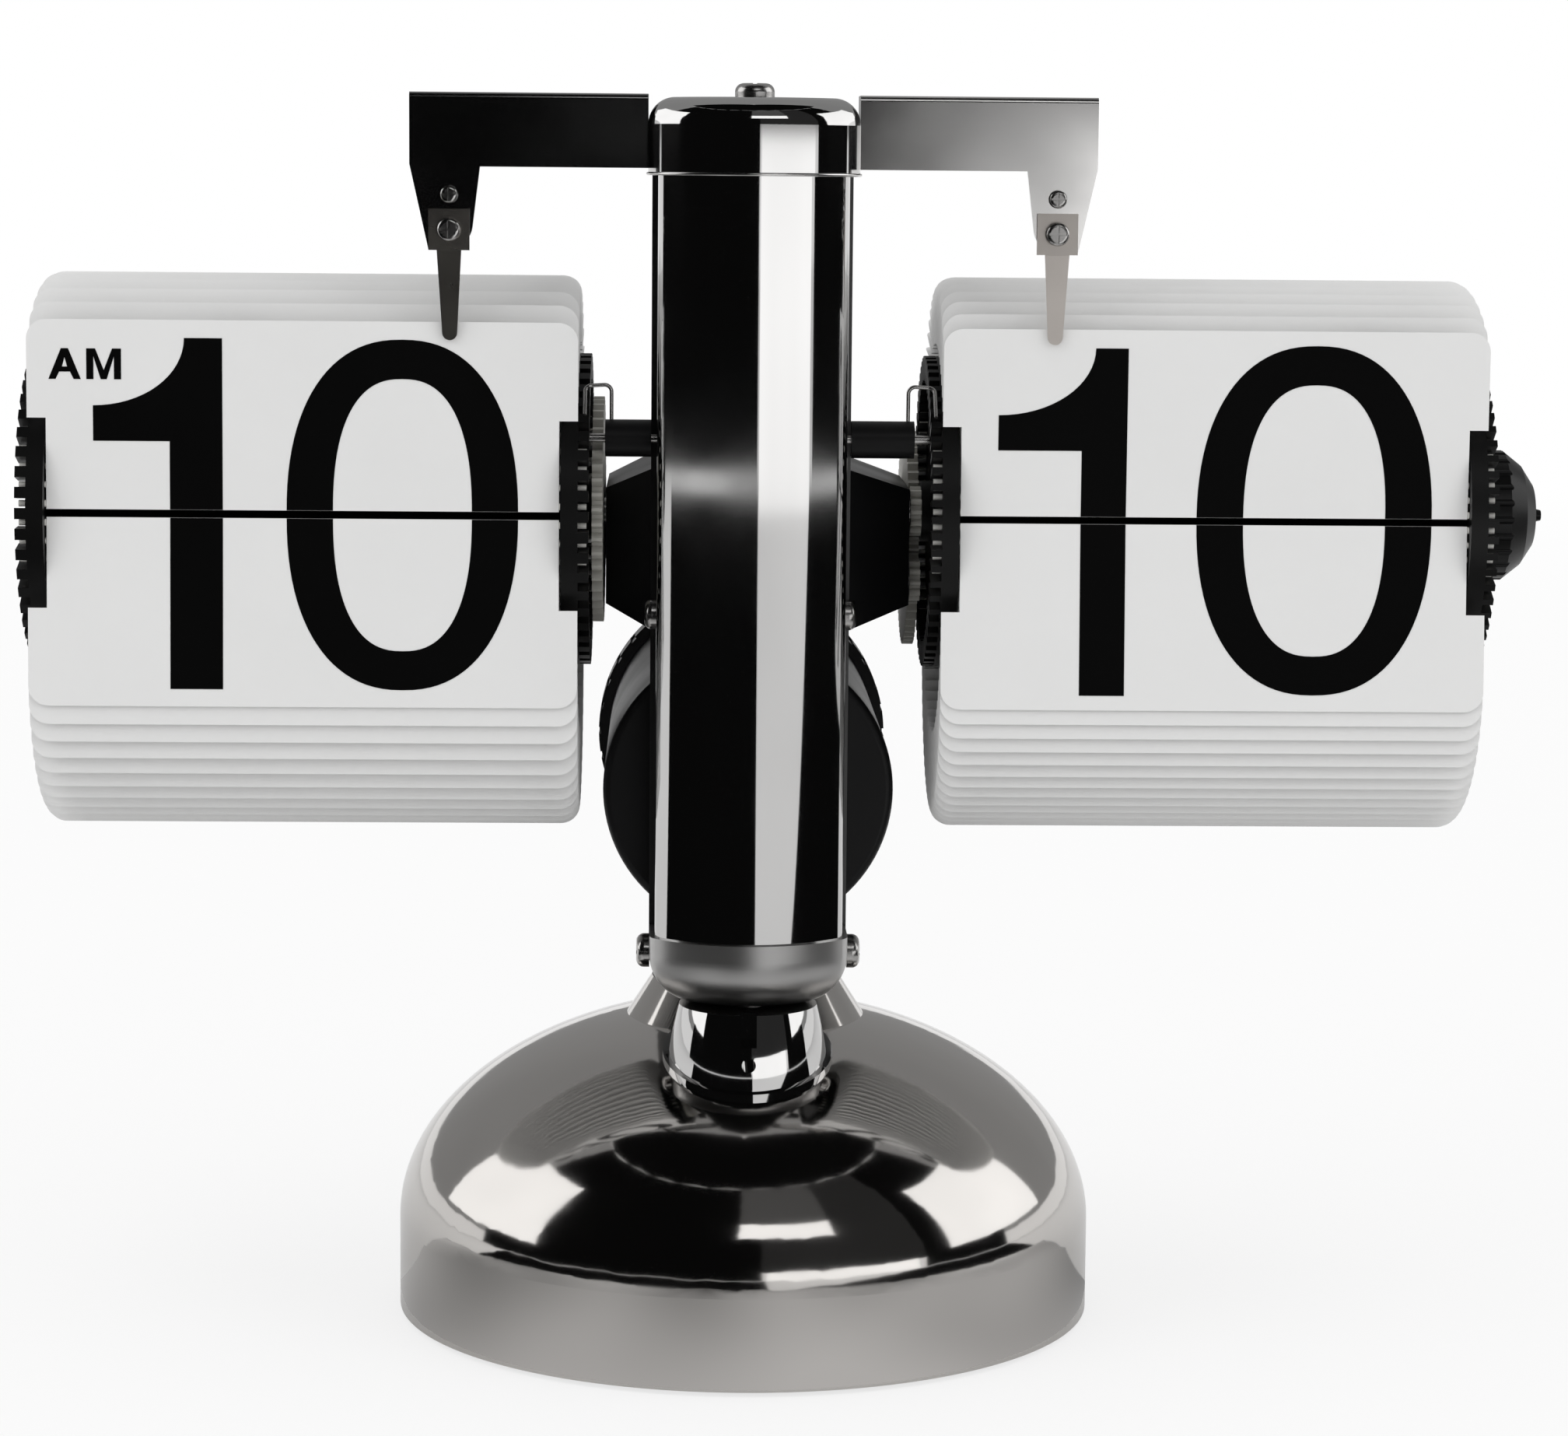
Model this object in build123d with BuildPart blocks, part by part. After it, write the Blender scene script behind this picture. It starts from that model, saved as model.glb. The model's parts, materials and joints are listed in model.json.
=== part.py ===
"""Desk flip clock: a chromed post on a domed base carries an hour drum and a minute drum of split leaves.

Millimetres. +Z is up, +X is to the right as seen from the front, -Y is the front. The origin is the centre of the
rest face under the base.
"""

import os
from math import acos, atan2, cos, degrees, pi, radians, sin, sqrt, tan

from build123d import *

# Base
base_radius = 46.2
skirt_height = 12.5
dome_rise = 29.0
dome_wall = 1.2
rim_lift = 0.6
boss_foot_radius = 16.0
boss_top_radius = 12.5
boss_height = 3.4
pad_radius = 43.0
pad_thickness = 3.0
weight_height = 16.0
weight_gap = 0.3
spacer_radius = 7.0

# Post, on a line in front of the base's centre
post_front = -27.5
post_back = -12.0
post_half_width = 12.1
post_crown = 6.0
post_corner = 2.6
sheet = 1.0
post_bottom = 53.7
post_top = 151.6
post_y = -20.0
neck_foot_radius = 10.3
neck_top_radius = 8.9
neck_bottom = 28.0
neck_flange_radius = 11.0
neck_flange = 1.0
collar_bottom = 44.9
collar_corner = 6.5
collar_grow = 0.7
cap_grow = 1.3
cap_bottom = 151.0
cap_top = 160.8
cap_round = 3.4
cap_screw_shank = 1.2
bolt_radius = 2.9
bolt_head_radius = 5.0
bolt_head_height = 2.6
chassis_half_width = 12.9
chassis_sheet = 1.2
collar_screw_y = -17.0
collar_screw_z = 51.2
collar_screw_shank = 0.9
post_screw_y = -16.0
post_screw_z = 95.0
post_screw_shank = 0.8
arm_screw_y = -15.75
arm_screw_z = 155.4
arm_screw_shank = 0.8
arm_screw_length = 2.1

# Drums
drum_z = 107.2
hinge_radius = 18.4
disc_radius = 20.5
disc_thickness = 2.2
crown_depth = 1.4
crown_inner_radius = 17.3
slot_width = 1.25
hub_radius = 4.0
bore_radius = 1.6
shaft_radius = 1.5
pin_radius = 0.42
pin_inset = 0.3
fit = 0.02
side_gap = 0.2
hour_leaf_count = 48
minute_leaf_count = 60
drum_inner_x = 20.8
minute_shift = 2.2

# Leaves
leaf_width = 70.0
leaf_length = 23.4
leaf_thickness = 0.15
leaf_corner = 2.5
leaf_notch = 10.9
hour_leaf_tail = 0.7
minute_leaf_tail = 0.5
split_share = 0.7
hour_lift_deg = 3.5
minute_lift_deg = 4.2
hour_rear_splay_deg = 4.0
minute_rear_splay_deg = 7.0
hour_front_splay_deg = 4.0
minute_front_splay_deg = 5.0

# Gear train: minute pinion, lay gear, lay pinion, hour gear
minute_pinion_teeth = 12
lay_gear_teeth = 60
lay_pinion_teeth = 10
hour_gear_teeth = 48
drive_pinion_teeth = 10
hour_module = 0.6
gear_thickness = 1.4
gear_gap = 0.3
pressure_angle = radians(25.0)
addendum_share = 0.75
dedendum_share = 1.1
backlash_share = 0.16
lay_drop = 4.6
drive_drop = 9.2
lay_shaft_radius = 1.1
running_gap = 0.06

# Gearbox
box_half_width = 12.8
box_back = 24.0
box_bottom = 91.8
box_top = 113.8
box_wall = 1.6
box_split = 20.0
snout_front = -5.0
snout_back = 21.4
snout_bottom = 95.2
snout_top = 110.4
snout_length = 6.0
module_drop = 14.0
module_height = 8.6
module_depth = 19.0

# Battery case, for one cell 34.2 mm across and 61.5 mm long
cell_radius = 17.1
cell_length = 61.5
cell_nub_radius = 4.5
cell_nub_height = 1.5
case_radius = 19.0
case_wall = 1.5
case_z = 71.3
battery_cap_radius = 20.6
battery_cap_skirt = 5.0
battery_cap_face = 2.0
contact_thickness = 0.6

# Arms and fingers
arm_y = -19.6
arm_sheet = 0.9
arm_reach = 43.5
arm_top = 161.2
arm_bar_height = 9.3
arm_flange = 6.5
arm_leg_bottom = 141.4
arm_foot_width = 5.2
arm_leg_inner = 34.6
finger_x = 38.5
finger_sheet = 0.4
finger_clamp_top = 146.6
finger_root_width = 3.1
finger_tip_width = 1.9
finger_tip_z = 130.0
finger_gap = 0.3

# Upper stud and click springs
stud_y = -12.9
stud_z = 117.4
sleeve_radius = 2.4
stud_radius = 0.6
wire_radius = 0.25

# Knob
knob_radius = 8.6
knob_length = 8.0
knob_nub = 1.4

parts_folder = "parts"
os.makedirs(parts_folder, exist_ok=True)


def keep(builder, name):
    """Label a finished piece and write it."""
    builder.part.label = name
    export_step(builder.part, f"{parts_folder}/{name}.step")


def minute_side(side):
    return side > 0


def at(side, x):
    """X of a station given by its distance from the post's middle, on the hour (-1) or minute (+1) side."""
    return side * (x + (minute_shift if minute_side(side) else 0.0))


def slab(side, x, thickness):
    """Sketch plane across X at the lower end of a slab that reaches from station x outwards."""
    return Plane.YZ.offset(min(at(side, x), at(side, x + thickness)))


disc_inner_x = drum_inner_x + crown_depth
leaf_inner_x = disc_inner_x
leaf_outer_x = leaf_inner_x + leaf_width
disc_outer_x = leaf_outer_x - disc_thickness
narrow_inner_x = disc_inner_x + disc_thickness + side_gap
narrow_outer_x = disc_outer_x - side_gap
drum_outer_x = disc_outer_x + disc_thickness + crown_depth
snout_x = box_half_width + snout_length
gear_x = drum_inner_x - gear_gap - gear_thickness


def side_hole(x, y, z, radius, length):
    """A drill along X through a point, to be taken out of a wall."""
    with BuildPart(mode=Mode.PRIVATE) as drill:
        with BuildSketch(Plane.YZ.offset(x - length / 2)):
            with Locations((y, z)):
                Circle(radius)
        extrude(amount=length)
    return drill.part


# Base
def dome_profile(radius, rise, bottom):
    """Half outline of a domed base of revolution, in the XZ plane."""
    with BuildSketch(Plane.XZ) as half:
        with BuildLine():
            wall = Line((radius, bottom), (radius, skirt_height))
            crown = EllipticalCenterArc((0, skirt_height), radius, rise, start_angle=0, arc_size=90)
            Line(crown @ 1, (0, bottom))
            Line((0, bottom), wall @ 0)
        make_face()
    return half.sketch


def dome_solid(grow):
    """The dome's outer form, grown by a distance, with its boss."""
    boss_z = skirt_height + dome_rise + boss_height + grow
    with BuildPart(mode=Mode.PRIVATE) as form:
        add(dome_profile(base_radius + grow, dome_rise + grow, rim_lift - grow))
        revolve(axis=Axis.Z)
        with BuildSketch(Plane.XZ):
            with BuildLine():
                Polyline((0, skirt_height), (boss_foot_radius + grow, skirt_height),
                         (boss_foot_radius + grow, boss_z - 1.6 * boss_height),
                         (boss_top_radius + grow, boss_z), (0, boss_z), (0, skirt_height))
            make_face()
        revolve(axis=Axis.Z)
    return form.part


outer_form = dome_solid(0.0)
boss_z = skirt_height + dome_rise + boss_height
inner_radius = base_radius - dome_wall
inner_rise = dome_rise - dome_wall

with BuildPart(mode=Mode.PRIVATE) as inner_form:
    add(dome_profile(inner_radius, inner_rise, -1.0))
    revolve(axis=Axis.Z)

with BuildPart(mode=Mode.PRIVATE) as filling_form:
    add(dome_profile(inner_radius - weight_gap, inner_rise - weight_gap, pad_thickness))
    revolve(axis=Axis.Z)

with BuildPart() as base_dome:
    add(outer_form)
    add(inner_form.part, mode=Mode.SUBTRACT)
    with Locations((0, post_y, 0)):
        Cylinder(bolt_radius + 0.2, 2 * boss_z, mode=Mode.SUBTRACT)
keep(base_dome, "base_dome")

bolt_seat = pad_thickness + bolt_head_height + 0.6

with BuildPart() as base_weight:
    add(filling_form.part)
    with BuildSketch(Plane.XY.offset(weight_height)):
        Circle(base_radius)
        with Locations((0, post_y)):
            Circle(spacer_radius, mode=Mode.SUBTRACT)
    extrude(amount=boss_z, mode=Mode.SUBTRACT)
    with BuildSketch(Plane.XY):
        with Locations((0, post_y)):
            Circle(bolt_radius + 0.2)
    extrude(amount=boss_z, mode=Mode.SUBTRACT)
    with BuildSketch(Plane.XY):
        with Locations((0, post_y)):
            Circle(bolt_head_radius + 0.6)
    extrude(amount=bolt_seat, mode=Mode.SUBTRACT)
keep(base_weight, "base_weight")

with BuildPart() as base_pad:
    with BuildSketch(Plane.XY):
        Circle(pad_radius)
    extrude(amount=pad_thickness)
    chamfer(base_pad.edges().group_by(Axis.Z)[0], 0.5)
keep(base_pad, "base_pad")

with BuildPart() as neck_bolt:
    with BuildSketch(Plane.XY.offset(bolt_seat - bolt_head_height)):
        with Locations((0, post_y)):
            RegularPolygon(bolt_head_radius, 6)
    extrude(amount=bolt_head_height)
    with BuildSketch(Plane.XY.offset(bolt_seat)):
        with Locations((0, post_y)):
            Circle(bolt_radius)
    extrude(amount=collar_bottom + 6.0 - bolt_seat)
keep(neck_bolt, "neck_bolt")

# Neck: a bell that stands on the dome's front slope and is cut to it
neck_plane = Plane(origin=(0, post_y, 0), x_dir=(1, 0, 0), z_dir=(0, -1, 0))
neck_axis = Axis((0, post_y, 0), (0, 0, 1))
neck_waist_z = 0.5 * (neck_bottom + collar_bottom) + 3.0

with BuildPart(mode=Mode.PRIVATE) as neck_flange_form:
    add(dome_solid(neck_flange))
    with BuildSketch(Plane.XY.offset(neck_bottom - 8.0)):
        with Locations((0, post_y)):
            Circle(neck_flange_radius)
    extrude(amount=collar_bottom - neck_bottom + 8.0, mode=Mode.INTERSECT)

with BuildPart() as neck:
    with BuildSketch(neck_plane):
        with BuildLine():
            Line((0, neck_bottom), (neck_foot_radius, neck_bottom))
            side_line = ThreePointArc(
                (neck_foot_radius, neck_bottom), (neck_foot_radius - 0.25, neck_waist_z),
                (neck_top_radius, collar_bottom))
            Line(side_line @ 1, (0, collar_bottom))
            Line((0, collar_bottom), (0, neck_bottom))
        make_face()
    revolve(axis=neck_axis)
    add(neck_flange_form.part)
    add(dome_solid(fit), mode=Mode.SUBTRACT)
    with BuildSketch(Plane.XY):
        with Locations((0, post_y)):
            Circle(bolt_radius + 0.1)
    extrude(amount=2 * boss_z, mode=Mode.SUBTRACT)
    with BuildSketch(Plane.XZ.offset(-post_y + 7.0)):
        with Locations((0, collar_bottom - 2.0)):
            Rectangle(2.0, 4.0)
        with Locations((0, collar_bottom - 6.2)):
            Circle(0.9)
    extrude(amount=neck_foot_radius, mode=Mode.SUBTRACT)
keep(neck, "neck")


# Post cover, collar and cap share one section: flat sides and back, an arched front
def post_section(grow, back):
    """Closed D section, grown by a distance, with its back at a given Y."""
    half = post_half_width + grow
    shoulder = post_front + post_crown
    corner = max(post_corner + grow, 0.5)
    with BuildSketch(mode=Mode.PRIVATE) as section:
        with BuildLine():
            Line((-half, back), (-half, shoulder))
            ThreePointArc((-half, shoulder), (0, post_front - grow), (half, shoulder))
            Line((half, shoulder), (half, back))
            Line((half, back), (-half, back))
        make_face()
        fillet(section.vertices().group_by(Axis.Y)[0], corner)
    return section.sketch


with BuildPart() as post_cover:
    with BuildSketch(Plane.XY.offset(post_bottom)):
        add(post_section(0.0, post_back))
        add(post_section(-sheet, post_back + 1.0), mode=Mode.SUBTRACT)
    extrude(amount=post_top - post_bottom)
    add(side_hole(0, post_screw_y, post_screw_z, post_screw_shank + fit, 4 * post_half_width), mode=Mode.SUBTRACT)
    add(side_hole(0, stud_y, stud_z, stud_radius + fit, 4 * post_half_width), mode=Mode.SUBTRACT)
keep(post_cover, "post_cover")

with BuildPart() as collar:
    with BuildSketch(Plane.XY.offset(collar_bottom)):
        add(post_section(collar_grow, post_back))
    extrude(amount=post_bottom - collar_bottom)
    fillet(collar.edges().group_by(Axis.Z)[0].filter_by(Axis.Y), collar_corner)
    with BuildSketch(Plane.XY):
        with Locations((0, post_y)):
            Circle(bolt_radius + fit)
    extrude(amount=collar_bottom + 6.2, mode=Mode.SUBTRACT)
    for side in (-1, 1):
        add(side_hole(side * post_half_width, collar_screw_y, collar_screw_z, collar_screw_shank + fit, 5.0),
            mode=Mode.SUBTRACT)
keep(collar, "collar")

with BuildPart() as top_cap:
    with BuildSketch(Plane.XY.offset(cap_bottom)):
        add(post_section(cap_grow, post_back + 0.4))
    extrude(amount=cap_top - cap_bottom)
    fillet(top_cap.edges().group_by(Axis.Z)[-1], cap_round)
    with BuildSketch(Plane.XY.offset(cap_bottom)):
        add(post_section(0.05, post_back + 2.0))
    extrude(amount=post_top - cap_bottom, mode=Mode.SUBTRACT)
    with BuildSketch(Plane.XY.offset(cap_bottom)):
        add(post_section(-sheet, post_back + 2.0))
    extrude(amount=cap_top - cap_bottom - sheet, mode=Mode.SUBTRACT)
    with BuildSketch(Plane.XY.offset(cap_top - 2 * sheet)):
        with Locations((0, post_y)):
            Circle(cap_screw_shank + fit)
    extrude(amount=3 * sheet, mode=Mode.SUBTRACT)
    add(side_hole(0, arm_screw_y, arm_screw_z, arm_screw_shank + fit, 4 * post_half_width), mode=Mode.SUBTRACT)
keep(top_cap, "top_cap")

chassis_y = post_back + fit
mount_face = chassis_y + chassis_sheet + fit
flange_x = post_half_width - sheet - 0.1
stay_top = cap_top - sheet

with BuildPart() as chassis:
    with BuildSketch(Plane.XY.offset(collar_bottom + 4.0)):
        with Locations((0, chassis_y + chassis_sheet / 2)):
            Rectangle(2 * chassis_half_width, chassis_sheet)
    extrude(amount=cap_bottom - collar_bottom - 4.0)
    with BuildSketch(Plane.XY.offset(post_bottom)):
        for x in (-flange_x + chassis_sheet / 2, flange_x - chassis_sheet / 2):
            with Locations((x, chassis_y - 3.0)):
                Rectangle(chassis_sheet, 6.0 + 2 * fit)
        with Locations((0, chassis_y - 0.5)):
            Rectangle(2 * flange_x, 1.0 + 2 * fit)
    extrude(amount=stay_top - sheet - post_bottom)
    with BuildSketch(Plane.XY.offset(stay_top - 2 * sheet)):
        with Locations((0, post_y / 2 + chassis_y / 2 - 1.0)):
            Rectangle(2 * flange_x - 8.0, chassis_y - post_y + 5.0)
    extrude(amount=2 * sheet)
    with BuildSketch(Plane.XY.offset(stay_top - 3 * sheet)):
        with Locations((0, post_y)):
            Circle(cap_screw_shank + 0.1)
    extrude(amount=4 * sheet, mode=Mode.SUBTRACT)
    add(side_hole(0, stud_y, stud_z, stud_radius + fit, 4 * post_half_width), mode=Mode.SUBTRACT)
keep(chassis, "chassis")


def dome_screw(origin, direction, head_radius, head_height, shank_radius, shank_length):
    """A dome-headed screw whose head sits on a face at the origin and stands out along the direction."""
    across = (0, 1, 0) if abs(direction[1]) < 0.5 else (1, 0, 0)
    plane = Plane(origin=origin, x_dir=across, z_dir=direction)
    with BuildPart(mode=Mode.PRIVATE) as screw:
        with BuildSketch(plane):
            Circle(head_radius)
        extrude(amount=head_height)
        fillet(screw.faces().sort_by(Axis(origin, direction))[-1].edges(), 0.6 * head_height)
        with BuildSketch(plane.offset(head_height)):
            Rectangle(1.5 * head_radius, 0.22 * head_radius)
            Rectangle(0.22 * head_radius, 1.5 * head_radius)
        extrude(amount=-0.35 * head_height, mode=Mode.SUBTRACT)
        with BuildSketch(plane):
            Circle(shank_radius)
        extrude(amount=-shank_length)
    return screw.part


with BuildPart() as cap_screw:
    add(dome_screw((0, post_y, cap_top), (0, 0, 1), 2.5, 1.8, cap_screw_shank, 4.0))
keep(cap_screw, "cap_screw")

with BuildPart() as collar_screws:
    for side in (-1, 1):
        wall_x = side * (post_half_width + collar_grow)
        seat = (wall_x, collar_screw_y, collar_screw_z)
        add(dome_screw(seat, (side, 0, 0), 2.2, 1.7, collar_screw_shank, 2.5))
keep(collar_screws, "collar_screws")

with BuildPart() as post_screws:
    for side in (-1, 1):
        seat = (side * post_half_width, post_screw_y, post_screw_z)
        add(dome_screw(seat, (side, 0, 0), 2.0, 1.5, post_screw_shank, sheet))
keep(post_screws, "post_screws")


# Gearbox and gear train
box_front = mount_face
box_z = (box_bottom + box_top) / 2
box_y = (box_front + box_back) / 2
lay_module = hour_module * (hour_gear_teeth + lay_pinion_teeth) / (minute_pinion_teeth + lay_gear_teeth)
train_distance = hour_module * (hour_gear_teeth + lay_pinion_teeth) / 2
lay_z = drum_z - lay_drop
lay_y = sqrt(train_distance**2 - lay_drop**2)
drive_distance = lay_module * (lay_gear_teeth + drive_pinion_teeth) / 2
drive_z = drum_z - drive_drop
drive_y = lay_y - sqrt(drive_distance**2 - (lay_z - drive_z) ** 2)


def gear_face(teeth, module, tooth_at, bore):
    """Involute spur gear outline about the origin, with one tooth centred on an angle."""
    pitch = module * teeth / 2
    base = pitch * cos(pressure_angle)
    tip = pitch + addendum_share * module
    root = pitch - dedendum_share * module
    half_tooth = pi / (2 * teeth) - backlash_share * module / (2 * pitch)
    start = max(base, root)
    steps = 4
    flank = []
    for step in range(steps + 1):
        radius = start + (tip - start) * step / steps
        roll = acos(min(1.0, base / radius))
        involute = tan(roll) - roll
        lean = half_tooth + tan(pressure_angle) - pressure_angle - involute
        flank.append((radius, lean))
    points = []
    for tooth in range(teeth):
        centre = tooth_at + 2 * pi * tooth / teeth
        rising = [(root, flank[0][1])] if root < start else []
        rising += flank
        for radius, lean in rising:
            points.append((radius * cos(centre - lean), radius * sin(centre - lean)))
        for radius, lean in reversed(rising):
            points.append((radius * cos(centre + lean), radius * sin(centre + lean)))
    with BuildSketch(mode=Mode.PRIVATE) as face:
        with BuildLine():
            Polyline(*points, close=True)
        make_face()
        Circle(bore, mode=Mode.SUBTRACT)
    return face.sketch


lay_direction = atan2(lay_z - drum_z, lay_y)
drum_direction = lay_direction + pi
drive_direction = atan2(drive_z - lay_z, drive_y - lay_y)
lay_step = 2 * pi / lay_gear_teeth
lay_offset = (drive_direction - drum_direction) / lay_step
lay_shift = (round(lay_offset) - lay_offset) * lay_step
drive_shift = -lay_shift * lay_gear_teeth / drive_pinion_teeth


def gear_slab(side):
    """Sketch plane across X where the side's gears start, towards -X."""
    return slab(side, gear_x, gear_thickness)


def wheel_at(side, y, z, face):
    """A gear face extruded into its wheel at its place."""
    plane = gear_slab(side)
    plane = Plane(origin=(plane.origin.X, y, z), x_dir=(0, 1, 0), z_dir=(1, 0, 0))
    with BuildPart(mode=Mode.PRIVATE) as wheel:
        with BuildSketch(plane):
            add(face)
        extrude(amount=gear_thickness)
    return wheel.part


minute_pinion_face = gear_face(minute_pinion_teeth, lay_module, lay_direction + pi / minute_pinion_teeth, bore_radius)
lay_gear_face = gear_face(lay_gear_teeth, lay_module, drum_direction, lay_shaft_radius + fit)
lay_pinion_face = gear_face(lay_pinion_teeth, hour_module, drum_direction, lay_shaft_radius + fit)
hour_gear_face = gear_face(hour_gear_teeth, hour_module, lay_direction + pi / hour_gear_teeth, hub_radius + fit)
drive_tooth_at = drive_direction + pi + pi / drive_pinion_teeth + drive_shift
drive_pinion_face = gear_face(drive_pinion_teeth, lay_module, drive_tooth_at, lay_shaft_radius + fit)

with BuildPart() as minute_pinion:
    add(wheel_at(1, 0, drum_z, minute_pinion_face))
keep(minute_pinion, "minute_pinion")

with BuildPart() as lay_gear:
    add(wheel_at(1, lay_y, lay_z, lay_gear_face))
keep(lay_gear, "lay_gear")

with BuildPart() as lay_pinion:
    add(wheel_at(-1, lay_y, lay_z, lay_pinion_face))
keep(lay_pinion, "lay_pinion")

with BuildPart() as hour_gear:
    add(wheel_at(-1, 0, drum_z, hour_gear_face))
keep(hour_gear, "hour_gear")

with BuildPart() as drive_pinion:
    add(wheel_at(1, drive_y, drive_z, drive_pinion_face))
keep(drive_pinion, "drive_pinion")


def rod(x_from, x_to, y, z, radius, hole=0.0):
    """A round rod, or a tube, along X."""
    with BuildPart(mode=Mode.PRIVATE) as bar:
        with BuildSketch(Plane(origin=(x_from, y, z), x_dir=(0, 1, 0), z_dir=(1, 0, 0))):
            Circle(radius)
            if hole:
                Circle(hole, mode=Mode.SUBTRACT)
        extrude(amount=x_to - x_from)
    return bar.part


lay_shaft_from = at(-1, gear_x + gear_thickness)
lay_shaft_to = at(1, gear_x + gear_thickness)

with BuildPart() as lay_shaft:
    add(rod(lay_shaft_from, lay_shaft_to, lay_y, lay_z, lay_shaft_radius))
keep(lay_shaft, "lay_shaft")

module_top = drum_z - module_drop + module_height + 1.0
module_bottom = module_top - module_height
module_front = box_front + box_wall + 0.2
module_face_x = box_half_width - box_wall - 0.2
module_port = lay_shaft_radius + running_gap

with BuildPart() as movement:
    with BuildSketch(Plane.XY.offset(module_bottom)):
        with Locations((0, module_front + module_depth / 2)):
            RectangleRounded(2 * module_face_x, module_depth, 1.5)
    extrude(amount=module_height)
    add(rod(0, module_face_x + 1.0, drive_y, drive_z, module_port), mode=Mode.SUBTRACT)
keep(movement, "movement")

with BuildPart() as drive_arbor:
    add(rod(1.0, at(1, gear_x + gear_thickness), drive_y, drive_z, lay_shaft_radius))
keep(drive_arbor, "drive_arbor")


def box_body(grow, ends):
    """The gearbox's outer form, or its hollow when grow is negative, with its tapered snouts."""
    with BuildPart(mode=Mode.PRIVATE) as body:
        with BuildSketch(Plane.YZ.offset(-box_half_width - grow)):
            with Locations((box_y, box_z)):
                RectangleRounded(box_back - box_front + 2 * grow, box_top - box_bottom + 2 * grow, 1.2)
        extrude(amount=2 * (box_half_width + grow))
        if ends:
            for side in (-1, 1):
                with BuildSketch(Plane.YZ.offset(side * box_half_width)):
                    with Locations((box_y, box_z)):
                        Rectangle(box_back - box_front - 1.0, box_top - box_bottom - 1.0)
                with BuildSketch(Plane.YZ.offset(at(side, snout_x))):
                    with Locations(((snout_front + snout_back) / 2, (snout_bottom + snout_top) / 2)):
                        Rectangle(snout_back - snout_front, snout_top - snout_bottom)
                loft()
    return body.part


box_form = box_body(0.0, True)
box_hollow = box_body(-box_wall, False)
far = 60.0


def box_half(front):
    """Front shell or rear cover of the gearbox, with its holes for the shafts."""
    with BuildPart(mode=Mode.PRIVATE) as half:
        add(box_form)
        add(box_hollow, mode=Mode.SUBTRACT)
        with BuildSketch(Plane.XZ.offset(-box_split)):
            with Locations((0, box_z)):
                Rectangle(2 * far, 2 * far)
        extrude(amount=far if front else -far, mode=Mode.INTERSECT)
        add(rod(-far, far, 0, drum_z, shaft_radius + fit), mode=Mode.SUBTRACT)
        add(rod(-far, far, lay_y, lay_z, lay_shaft_radius + running_gap), mode=Mode.SUBTRACT)
        add(rod(0, far, drive_y, drive_z, lay_shaft_radius + running_gap), mode=Mode.SUBTRACT)
        for x, z in box_screw_spots:
            add(box_screw_drill(x, z), mode=Mode.SUBTRACT)
    return half.part


def box_screw_drill(x, z):
    """A drill along Y for one of the gearbox's screws."""
    with BuildPart(mode=Mode.PRIVATE) as drill:
        with BuildSketch(Plane.XZ.offset(-box_back - 1.0)):
            with Locations((x, z)):
                Circle(box_screw_radius + fit)
        extrude(amount=box_screw_length + 1.0)
    return drill.part


box_screw_radius = 0.7
box_screw_length = 7.0
box_screw_x = box_half_width - 0.6
box_screw_spots = [(side * box_screw_x, z) for side in (-1, 1) for z in (box_z - 5.0, box_z + 5.0)]

with BuildPart() as gearbox_shell:
    add(box_half(True))
keep(gearbox_shell, "gearbox_shell")

with BuildPart() as gearbox_cover:
    add(box_half(False))
keep(gearbox_cover, "gearbox_cover")

with BuildPart() as gearbox_screws:
    for x, z in box_screw_spots:
        add(dome_screw((x, box_back, z), (0, 1, 0), 1.4, 1.0, box_screw_radius, box_screw_length))
keep(gearbox_screws, "gearbox_screws")

# Battery case along Y behind the post
case_front = mount_face
cell_front = case_front + case_wall + cell_nub_height + contact_thickness + fit
cell_back = cell_front + cell_length - cell_nub_height
case_back = cell_back + contact_thickness + fit - running_gap
case_inner = case_radius - case_wall


def can(y_from, y_to, radius, hole=0.0):
    """A disc, cylinder or ring along Y on the battery case's axis."""
    with BuildPart(mode=Mode.PRIVATE) as ring:
        with BuildSketch(Plane.XZ.offset(-y_to)):
            with Locations((0, case_z)):
                Circle(radius)
                if hole:
                    Circle(hole, mode=Mode.SUBTRACT)
        extrude(amount=y_to - y_from)
    return ring.part


with BuildPart() as battery_case:
    add(can(case_front, case_back, case_radius))
    add(can(case_front + case_wall, case_back + 1.0, case_inner), mode=Mode.SUBTRACT)
    fillet(battery_case.faces().sort_by(Axis.Y)[0].edges(), 1.0)
keep(battery_case, "battery_case")

with BuildPart() as battery_cell:
    add(can(cell_front, cell_back, cell_radius))
    fillet(battery_cell.edges(), 0.8)
    add(can(cell_front - cell_nub_height, cell_front, cell_nub_radius))
keep(battery_cell, "battery_cell")

with BuildPart() as front_contact:
    add(can(case_front + case_wall, case_front + case_wall + contact_thickness, 2 * cell_nub_radius))
keep(front_contact, "front_contact")

cap_face_y = case_back + running_gap
cap_end_y = cap_face_y + battery_cap_face
grip_height = 2.4
grip_width = 4.0
rib_count = 36

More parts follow.
